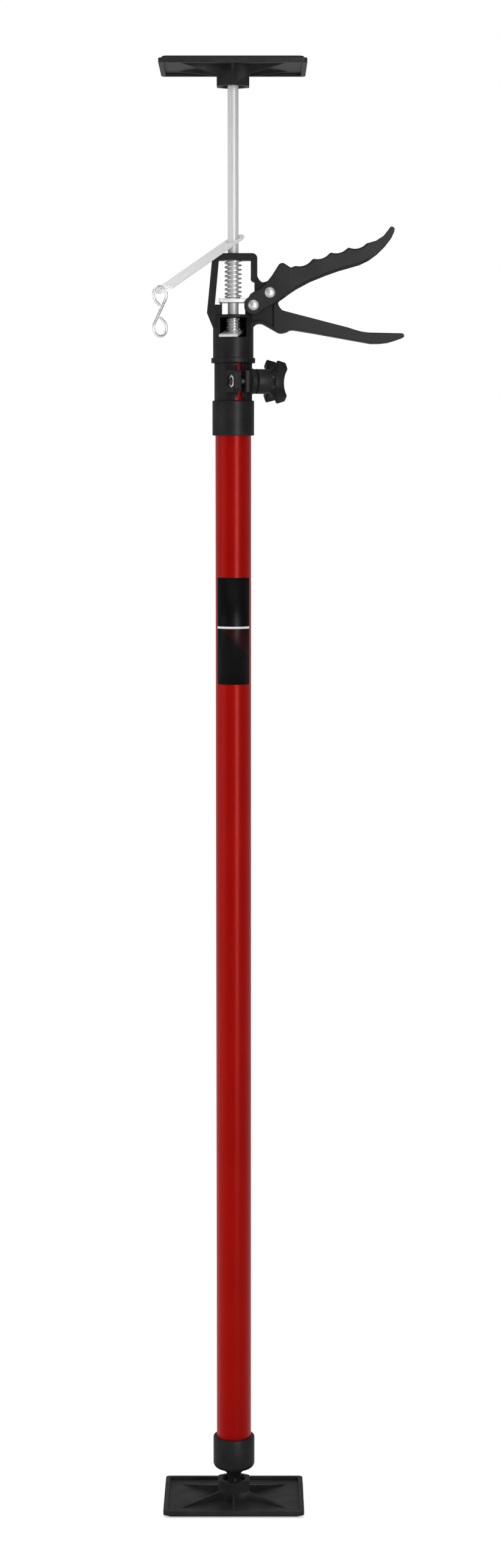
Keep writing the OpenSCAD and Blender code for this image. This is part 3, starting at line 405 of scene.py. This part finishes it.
# Geometry Nodes tree for a coil spring with closed ends, standing on z = 0
def springTree():
    tree = bpy.data.node_groups.new("coilSpring", "GeometryNodeTree")
    sockets = (("Coil Radius", "Float", 6 * mm), ("Wire Radius", "Float", mm), ("Turns", "Float", 8.0),
               ("Height", "Float", 30 * mm), ("Slope", "Float", 0.0), ("Points", "Int", 200),
               ("Material", "Material", None))
    for label, kind, value in sockets:
        socket = tree.interface.new_socket(label, in_out="INPUT", socket_type="NodeSocket" + kind)
        if value is not None:
            socket.default_value = value
    tree.interface.new_socket("Geometry", in_out="OUTPUT", socket_type="NodeSocketGeometry")
    given = addNode(tree, "NodeGroupInput").outputs
    sums = "ShaderNodeMath"
    index = addNode(tree, "GeometryNodeInputIndex")
    last = addNode(tree, sums, {0: given["Points"], 1: 1.0}, operation="SUBTRACT")
    part = addNode(tree, sums, {0: index, 1: last}, operation="DIVIDE")
    turn = addNode(tree, sums, {0: part, 1: given["Turns"]}, operation="MULTIPLY")
    angle = addNode(tree, sums, {0: turn, 1: 2 * math.pi}, operation="MULTIPLY")
    cosine = addNode(tree, sums, {0: angle}, operation="COSINE")
    sine = addNode(tree, sums, {0: angle}, operation="SINE")
    x = addNode(tree, sums, {0: given["Coil Radius"], 1: cosine}, operation="MULTIPLY")
    y = addNode(tree, sums, {0: given["Coil Radius"], 1: sine}, operation="MULTIPLY")
    # each end turn is closed, and the turns between them share the height that is left
    endRise = addNode(tree, sums, {0: given["Wire Radius"], 1: winding["endRise"]}, operation="MULTIPLY")
    bothEnds = addNode(tree, sums, {0: endRise, 1: 2.0}, operation="MULTIPLY")
    thick = addNode(tree, sums, {0: given["Wire Radius"], 1: 2.0}, operation="MULTIPLY")
    rise = addNode(tree, sums, {0: given["Height"], 1: thick}, operation="SUBTRACT")
    openRise = addNode(tree, sums, {0: rise, 1: bothEnds}, operation="SUBTRACT")
    lastTurn = addNode(tree, sums, {0: given["Turns"], 1: 1.0}, operation="SUBTRACT")
    start = addNode(tree, "ShaderNodeMapRange", {"Value": turn, "From Max": 1.0, "To Max": endRise})
    middle = addNode(tree, "ShaderNodeMapRange", {
        "Value": turn, "From Min": 1.0, "From Max": lastTurn, "To Max": openRise})
    end = addNode(tree, "ShaderNodeMapRange", {
        "Value": turn, "From Min": lastTurn, "From Max": given["Turns"], "To Max": endRise})
    early = addNode(tree, sums, {0: start, 1: middle}, operation="ADD")
    lift = addNode(tree, sums, {0: early, 1: end}, operation="ADD")
    # the lower end leans by the slope, and the lean fades towards the upper end
    gone = addNode(tree, sums, {0: turn, 1: given["Turns"]}, operation="DIVIDE")
    fade = addNode(tree, sums, {0: 1.0, 1: gone}, operation="SUBTRACT")
    tilt = addNode(tree, sums, {0: y, 1: given["Slope"]}, operation="MULTIPLY")
    lean = addNode(tree, sums, {0: tilt, 1: fade}, operation="MULTIPLY")
    straight = addNode(tree, sums, {0: lift, 1: given["Wire Radius"]}, operation="ADD")
    z = addNode(tree, sums, {0: straight, 1: lean}, operation="ADD")
    point = addNode(tree, "ShaderNodeCombineXYZ", {0: x, 1: y, 2: z})
    line = addNode(tree, "GeometryNodeMeshLine", {"Count": given["Points"], "Offset": (0, 0, mm)})
    helix = addNode(tree, "GeometryNodeSetPosition", {"Geometry": line, "Position": point})
    curve = addNode(tree, "GeometryNodeMeshToCurve", {"Mesh": helix})
    section = addNode(tree, "GeometryNodeCurvePrimitiveCircle", {
        "Resolution": winding["wireSides"], "Radius": given["Wire Radius"]})
    wire = addNode(tree, "GeometryNodeCurveToMesh", {
        "Curve": curve, "Profile Curve": section, "Fill Caps": True})
    soft = addNode(tree, "GeometryNodeSetShadeSmooth", {"Geometry": wire})
    whole = addNode(tree, "GeometryNodeRealizeInstances", {"Geometry": soft})
    plated = addNode(tree, "GeometryNodeSetMaterial", {"Geometry": whole, "Material": given["Material"]})
    addNode(tree, "NodeGroupOutput", {0: plated})
    return tree


def fromTree(name, tree, values, turnZ, moveTo):  # a plain mesh of what the tree makes
    carrier = bpy.data.objects.new(name + "Tree", bpy.data.meshes.new(name + "Tree"))
    bpy.context.scene.collection.objects.link(carrier)
    modifier = carrier.modifiers.new("shape", "NODES")
    modifier.node_group = tree
    sockets = {s.name: s.identifier for s in tree.interface.items_tree if s.in_out == "INPUT"}
    for label, value in values.items():
        modifier[sockets[label]] = value
    evaluated = carrier.evaluated_get(bpy.context.evaluated_depsgraph_get())
    mesh = bpy.data.meshes.new_from_object(evaluated)
    mesh.name = name
    carrier.modifiers.remove(modifier)
    bpy.data.objects.remove(carrier)
    mesh.transform(Matrix.Translation(moveTo) @ Matrix.Rotation(turnZ, 4, "Z"))
    return mesh


coil = springTree()
for nodeName, given in springs.items():
    low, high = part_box(nodeName)
    body = nodes[nodeName]["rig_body"]
    outer = (high.x - low.x) / 2
    wire = given["wire"]
    sag = (outer - wire / 2) * given["slope"]
    height = high.z - low.z - sag * winding["sagShare"]
    mesh = fromTree(given["name"], coil, {
        "Coil Radius": outer - wire / 2, "Wire Radius": wire / 2, "Turns": float(given["turns"]),
        "Height": height, "Slope": given["slope"], "Points": given["turns"] * winding["pointsPerTurn"] + 1,
        "Material": finish["wire"]}, given["turn"], Vector((0, 0, high.z - height)))
    piece = newPiece(given["name"], mesh, body, finish["wire"])
    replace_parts(piece, nodeName)
    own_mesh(piece)
print("springs wound")

# Blank vinyl sticker on the front of the lower tube, with a white line across it above a dim red wedge
sticker = {
    "low": 669 * mm, "high": 753 * mm, "corner": 1.2 * mm, "thick": 0.12 * mm, "gap": 0.02 * mm,
    "halfAngle": math.radians(62), "columns": 64, "edgeBlur": 0.5 * mm,
    "colours": ("#0C0C0C", "#260A09"), "edge": 703.5 * mm, "ceiling": 713.5 * mm,
}
divider = {
    "low": 713 * mm, "high": 714.7 * mm, "corner": 0.05 * mm, "thick": 0.03 * mm,
    "colours": ("#F0F0F0", "#F4F4F4"), "edge": 713.5 * mm, "ceiling": 753 * mm,
}


# Vinyl film with a satin laminate. Its second colour lies right of a slanted edge and below a ceiling.
def stickerFilm(name, given):
    material, tree, place = startMaterial(name)
    split = addNode(tree, "ShaderNodeSeparateXYZ", {0: place}).outputs
    slant = addNode(tree, "ShaderNodeMath", {0: split["X"], 1: split["Z"]}, operation="ADD")
    blur = sticker["edgeBlur"]
    side = addNode(tree, "ShaderNodeMapRange", {
        "Value": slant, "From Min": given["edge"] - blur, "From Max": given["edge"] + blur})
    below = addNode(tree, "ShaderNodeMath", {0: split["Z"], 1: given["ceiling"]}, operation="LESS_THAN")
    share = addNode(tree, "ShaderNodeMath", {0: side, 1: below}, operation="MULTIPLY")
    first, second = [linear(colour) for colour in given["colours"]]
    mix = addNode(tree, "ShaderNodeMix", {0: share, 6: first, 7: second}, data_type="RGBA")
    mottle = grained(tree, place, 3, 2, (0.36, 0.44), (0.04, 0.05))
    endMaterial(tree, mottle, {"Base Color": mix.outputs[2], "Specular IOR Level": 0.06})
    return material


def tubePatch(name, radius, given, material):  # thin film round the front of the tube
    low, high, corner = given["low"], given["high"], given["corner"]
    columns = sticker["columns"]
    shape = bmesh.new()
    rows = []
    for i in range(columns + 1):
        angle = sticker["halfAngle"] * (2 * i / columns - 1)
        inset = radius * (sticker["halfAngle"] - abs(angle))
        trim = corner - math.sqrt(max(corner ** 2 - (corner - inset) ** 2, 0)) if inset < corner else 0
        x, y = radius * math.sin(angle), -radius * math.cos(angle)
        rows.append((shape.verts.new((x, y, low + trim)), shape.verts.new((x, y, high - trim))))
    for left, right in zip(rows, rows[1:]):
        shape.faces.new((left[0], right[0], right[1], left[1]))
    mesh = bpy.data.meshes.new(name)
    shape.to_mesh(mesh)
    shape.free()
    smooth(mesh, rounding["shadeDegrees"])
    piece = newPiece(name, mesh, "pole", material)
    film = piece.modifiers.new("film", "SOLIDIFY")
    film.thickness = given["thick"]
    film.offset = 1


tubeLow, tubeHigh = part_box("outer_tube")
filmRadius = (tubeHigh.x - tubeLow.x) / 2 + sticker["gap"]
tubePatch("blankSticker", filmRadius, sticker, stickerFilm("blackVinylSticker", sticker))
tubePatch("stickerDivider", filmRadius + sticker["thick"], divider, stickerFilm("whitePrintedLine", divider))
print("sticker laid")

# Pale studio: its light is dim in front and bright behind, and dimmer still where the object mirrors it
studio = {
    "floorReach": 60, "floorDrop": 0.2 * mm, "floorGlow": 0.5, "aim": (0, 0, 0.6), "frontEnd": -0.25,
    "backEnd": 0.35, "front": 0.3, "back": 0.9, "glossFront": 0.06, "glossBack": 0.45,
}
studioLamps = {  # name: place, size x, size y, watts, lights matt surfaces too
    "keyStrip": ((0.85, -2.0, 1.25), 0.35, 1.8, 9.0, True),
    "fillLeft": ((-2.2, -0.9, 0.9), 1.4, 2.0, 16.0, True),
    "topSoft": ((0.0, -0.4, 2.6), 1.6, 1.6, 14.0, True),
    "glintStrip": ((0.8, -1.9, 0.75), 0.35, 2.2, 68.0, False),
}
viewpoint = {"lens": 65.13, "place": (0.01349, -2.2404, 0.84107), "lookDown": 6.42}


def studioFloor():
    material, tree, place = startMaterial("paleFloor")
    seen = addNode(tree, "ShaderNodeLightPath").outputs["Is Camera Ray"]
    speckle = clouded(tree, place, 40, 2, "#F4F4F4", "#F8F8F8", 0.3, 0.7)
    paint = addNode(tree, "ShaderNodeBsdfDiffuse", {"Color": speckle})
    strength = addNode(tree, "ShaderNodeMath", {0: seen, 1: studio["floorGlow"]}, operation="MULTIPLY")
    glow = addNode(tree, "ShaderNodeEmission", {"Color": (1, 1, 1, 1), "Strength": strength})
    both = addNode(tree, "ShaderNodeAddShader", {0: paint, 1: glow})
    addNode(tree, "ShaderNodeOutputMaterial", {"Surface": both})
    mesh = bpy.data.meshes.new("studioFloor")
    reach = studio["floorReach"]
    corners = [(-reach, -reach, 0), (reach, -reach, 0), (reach, reach, 0), (-reach, reach, 0)]
    mesh.from_pydata(corners, [], [(0, 1, 2, 3)])
    mesh.materials.append(material)
    floor = bpy.data.objects.new("studioFloor", mesh)
    floor.location.z = -studio["floorDrop"]
    bpy.context.scene.collection.objects.link(floor)


def addLamp(name, place, sizeX, sizeY, watts, diffuse):
    lamp = bpy.data.lights.new(name, "AREA")
    lamp.shape = "RECTANGLE"
    lamp.size = sizeX
    lamp.size_y = sizeY
    lamp.energy = watts
    holder = bpy.data.objects.new(name, lamp)
    holder.location = place
    holder.visible_diffuse = diffuse
    aim = Vector(studio["aim"]) - Vector(place)
    holder.rotation_euler = aim.to_track_quat("-Z", "Y").to_euler()
    bpy.context.scene.collection.objects.link(holder)


def studioWorld():
    world = bpy.data.worlds.new("softStudio")
    world.use_nodes = True
    tree = world.node_tree
    tree.nodes.clear()
    path = addNode(tree, "ShaderNodeLightPath").outputs
    direction = addNode(tree, "ShaderNodeTexCoord").outputs["Generated"]
    backwards = addNode(tree, "ShaderNodeSeparateXYZ", {0: direction}).outputs["Y"]
    ends = {"Value": backwards, "From Min": studio["frontEnd"], "From Max": studio["backEnd"]}
    plain = addNode(tree, "ShaderNodeMapRange", {**ends, "To Min": studio["front"], "To Max": studio["back"]})
    mirrored = addNode(tree, "ShaderNodeMapRange", {
        **ends, "To Min": studio["glossFront"], "To Max": studio["glossBack"]})
    strength = addNode(tree, "ShaderNodeMix", {0: path["Is Glossy Ray"], 2: plain, 3: mirrored})
    soft = addNode(tree, "ShaderNodeBackground", {"Color": (1, 1, 1, 1), "Strength": strength})
    white = addNode(tree, "ShaderNodeBackground", {"Color": (1, 1, 1, 1), "Strength": 1.0})
    both = addNode(tree, "ShaderNodeMixShader", {0: path["Is Camera Ray"], 1: soft, 2: white})
    addNode(tree, "ShaderNodeOutputWorld", {"Surface": both})
    bpy.context.scene.world = world


def frontCamera():
    lens = bpy.data.cameras.new("viewCamera")
    lens.lens = viewpoint["lens"]
    lens.sensor_fit = "AUTO"
    camera = bpy.data.objects.new("viewCamera", lens)
    camera.location = viewpoint["place"]
    camera.rotation_euler = (math.radians(90 - viewpoint["lookDown"]), 0, 0)
    bpy.context.scene.collection.objects.link(camera)
    bpy.context.scene.camera = camera


studioFloor()
for name, row in studioLamps.items():
    addLamp(name, *row)
studioWorld()
frontCamera()
bpy.context.scene.view_settings.view_transform = "Standard"
print("studio set")
